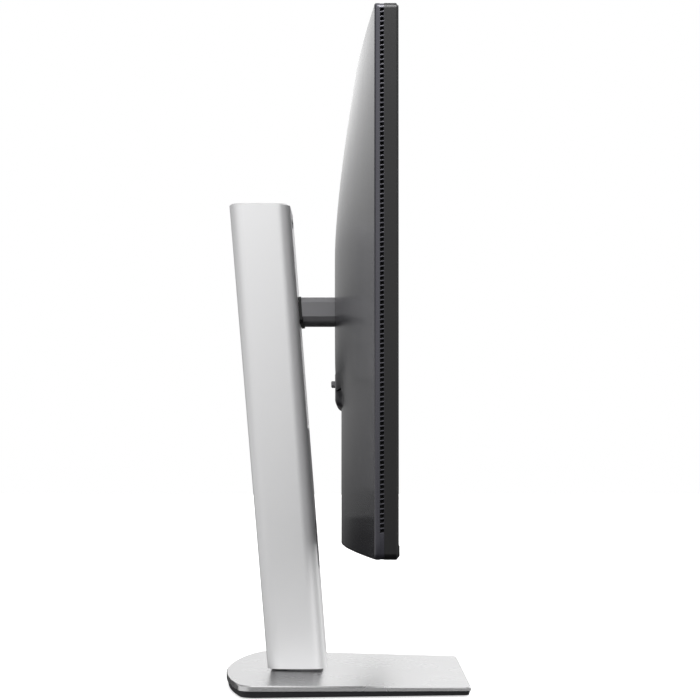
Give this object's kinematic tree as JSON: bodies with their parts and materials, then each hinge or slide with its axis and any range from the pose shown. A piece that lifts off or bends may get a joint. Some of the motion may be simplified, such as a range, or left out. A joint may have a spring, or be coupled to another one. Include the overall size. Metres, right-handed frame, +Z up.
{
  "type": "computer monitor",
  "caption": "Flat computer display head with a vented edge and domed rear cover, on a silver leaning column that swivels, lifts and tilts, over a thin wedge foot.",
  "frame": {"origin": "on the table, under the middle of the outline", "axes": "+Z up, the screen faces -Y, +X along the width to the viewer's right"},
  "size_m": [0.6114, 0.1894, 0.465],
  "materials": {
    "silver": "satin anodised, fine bead blast",
    "foot_black": "fine moulded texture",
    "rubber": "matte",
    "steel": "zinc plated",
    "cast": "die cast, as cast",
    "spring_steel": "rolled strip",
    "charcoal": "satin moulded texture",
    "charcoal_dark": "fine moulded texture",
    "arm_charcoal": "satin moulded texture",
    "glide": "natural nylon",
    "screen": "anti-glare",
    "cell": "laminated panel",
    "guide": "clear acrylic",
    "sheet_steel": "galvanised sheet",
    "board": "solder mask",
    "black_painted": "semi-matte black paint",
    "socket_shell": "nickel plated",
    "connector_black": "moulded"
  },
  "bodies": {
    "base": {"base_plate": "silver", "base_underbody": "foot_black", "base_screws": "steel", "rubber_feet": "rubber", "swivel_ring": "steel"},
    "column": {"swivel_hub": "cast", "thumbscrew": "steel", "column_shell": "silver", "column_cap": "silver", "column_foot": "cast", "lift_rail": "sheet_steel", "rail_screws": "steel", "cable_grommet": "charcoal_dark", "spring_strip": "spring_steel"},
    "screw_ring": {"thumbscrew_ring": "steel"},
    "carriage": {"lift_carriage": "cast", "glide_pads": "glide", "drum_axle": "steel", "arm_core": "cast", "arm_cover_upper": "arm_charcoal", "arm_cover_lower": "arm_charcoal", "arm_collar": "charcoal_dark"},
    "spring_spool": {"spring_drum": "glide", "spring_coil": "spring_steel"},
    "head": {"tilt_bracket": "black_painted", "tilt_shaft": "steel", "tilt_washers": "steel", "tilt_nuts": "steel", "mount_plate": "black_painted", "mount_screws": "steel", "mount_cover": "charcoal", "screw_plate": "sheet_steel", "latch_spring": "spring_steel", "rear_cover": "charcoal", "cover_screws": "steel", "front_frame": "charcoal_dark", "vent_band": "charcoal", "screen_glass": "screen", "display_cell": "cell", "light_guide": "guide", "lamp_bar": "board", "back_pan": "sheet_steel", "chassis": "sheet_steel", "main_board": "board", "power_board": "board", "connector_plate": "black_painted", "power_inlet": "connector_black", "video_port_wide": "socket_shell", "video_port_narrow": "socket_shell", "data_port_small": "socket_shell", "data_ports": "socket_shell", "button_board": "board"},
    "release": {"release_button": "arm_charcoal"},
    "latch": {"latch_bolt": "steel"},
    "menu_key_1": {"menu_button_1": "charcoal_dark"},
    "menu_key_2": {"menu_button_2": "charcoal_dark"},
    "menu_key_3": {"menu_button_3": "charcoal_dark"},
    "power_key": {"power_button": "charcoal_dark"}
  },
  "joints": [
    {"name": "swivel", "type": "hinge", "parent": "base", "child": "column", "pos_m": [0, 0.03865, 0.0096], "axis": [0, 0, 1], "range_deg": [-30, 30]},
    {"name": "height", "type": "slide", "parent": "column", "child": "carriage", "axis": [0, 0.0788, 0.9969], "range_m": [-0.08, 0.065], "deforming": ["spring_strip"]},
    {"name": "spool_spin", "type": "hinge", "parent": "carriage", "child": "spring_spool", "pos_m": [0, 0.06402, 0.25542], "axis": [1, 0, 0], "range_deg": [-312, 382]},
    {"name": "tilt", "type": "hinge", "parent": "carriage", "child": "head", "pos_m": [0, 0.009, 0.2969], "axis": [-1, 0, 0], "range_deg": [-5, 20]},
    {"name": "ring_fold", "type": "hinge", "parent": "column", "child": "screw_ring", "pos_m": [0, 0.03865, 0.0027], "axis": [-1, 0, 0], "range_deg": [0, 90]},
    {"name": "release_press", "type": "slide", "parent": "head", "child": "release", "axis": [0, -1, 0], "range_m": [0, 0.003], "stiffness_N_per_m": 800, "springref_m": -0.001},
    {"name": "latch_slide", "type": "slide", "parent": "head", "child": "latch", "axis": [0, 0, -1], "range_m": [0, 0.003], "deforming": ["latch_spring"]},
    {"name": "menu_press_1", "type": "slide", "parent": "head", "child": "menu_key_1", "axis": [0, 0, 1], "range_m": [0, 0.0006], "stiffness_N_per_m": 1500, "springref_m": -0.0003},
    {"name": "menu_press_2", "type": "slide", "parent": "head", "child": "menu_key_2", "axis": [0, 0, 1], "range_m": [0, 0.0006], "stiffness_N_per_m": 1500, "springref_m": -0.0003},
    {"name": "menu_press_3", "type": "slide", "parent": "head", "child": "menu_key_3", "axis": [0, 0, 1], "range_m": [0, 0.0006], "stiffness_N_per_m": 1500, "springref_m": -0.0003},
    {"name": "power_press", "type": "slide", "parent": "head", "child": "power_key", "axis": [0, 0, 1], "range_m": [0, 0.0006], "stiffness_N_per_m": 1500, "springref_m": -0.0003}
  ],
  "couplings": [
    {"joint": "spool_spin", "follows": "height", "rad_per_m": -82.3},
    {"joint": "latch_slide", "follows": "release_press", "ratio": 1}
  ]
}
